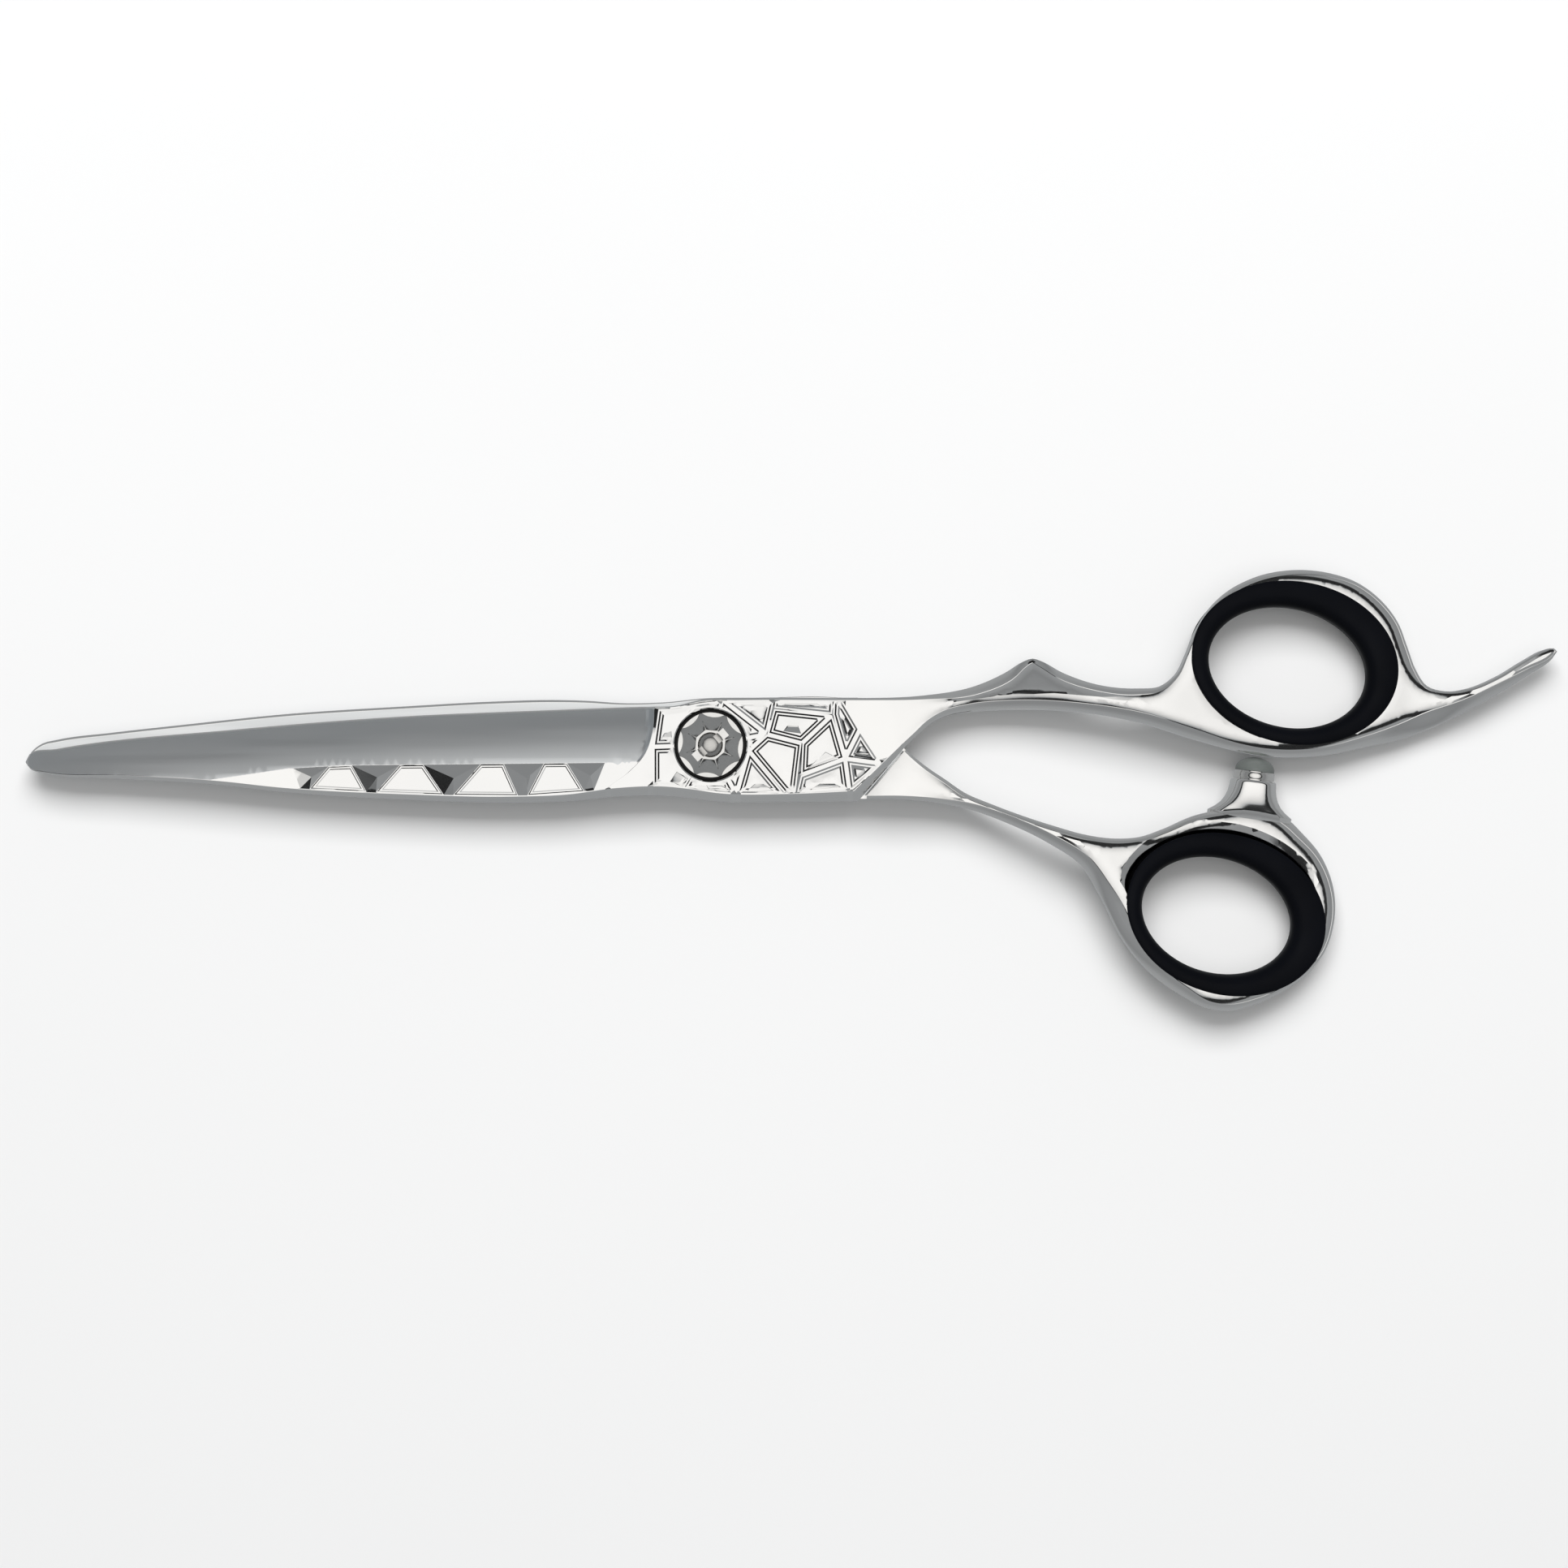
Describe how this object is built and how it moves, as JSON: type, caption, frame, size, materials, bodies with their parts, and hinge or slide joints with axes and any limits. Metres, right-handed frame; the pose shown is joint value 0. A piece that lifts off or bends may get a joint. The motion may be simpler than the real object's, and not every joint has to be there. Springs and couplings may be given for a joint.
{
  "type": "hair cutting shears",
  "caption": "Closed hair cutting shears with convex blades, a faceted hub, a scalloped tension dial, cushioned finger rings, a rubber bumper and a curved finger rest.",
  "frame": {"origin": "on the pivot axis, in the plane of the hub's flat back", "axes": "+X from the tips to the handle end, +Z along the pivot axis out of the dial, +Y towards the cutting edge of the finger half"},
  "size_m": [0.1966, 0.0565, 0.0075],
  "materials": {
    "steel": "polished stainless steel, satin on the ground blade faces",
    "pivot_steel": "fine turned and polished",
    "slide_plastic": "low friction fluoropolymer",
    "filled_plastic": "carbon filled fluoropolymer",
    "bush": "turned bronze",
    "spring_steel": "stamped spring steel",
    "insert_rubber": "smooth black rubber",
    "seat_metal": "bright turned metal",
    "bumper_silicone": "cloudy grey-green silicone"
  },
  "bodies": {
    "finger_side": {"finger_half": "steel", "finger_insert": "insert_rubber", "pivot_bush": "bush", "thrust_washer": "filled_plastic"},
    "thumb_side": {"thumb_half": "steel", "thumb_insert": "insert_rubber", "pivot_stud": "pivot_steel", "ride_washer": "slide_plastic", "click_spring": "spring_steel", "bumper_seat": "seat_metal", "bumper_cap": "bumper_silicone"},
    "dial": {"tension_dial": "pivot_steel"}
  },
  "joints": [
    {"name": "blade_pivot", "type": "hinge", "parent": "finger_side", "child": "thumb_side", "pos_m": [0, 0, 0.003], "axis": [0, 0, -1], "range_deg": [0, 110]},
    {"name": "tension_adjust", "type": "hinge", "parent": "thumb_side", "child": "dial", "pos_m": [0, 0, 0.006], "axis": [0, 0, 1], "range_deg": [-90, 90]}
  ]
}
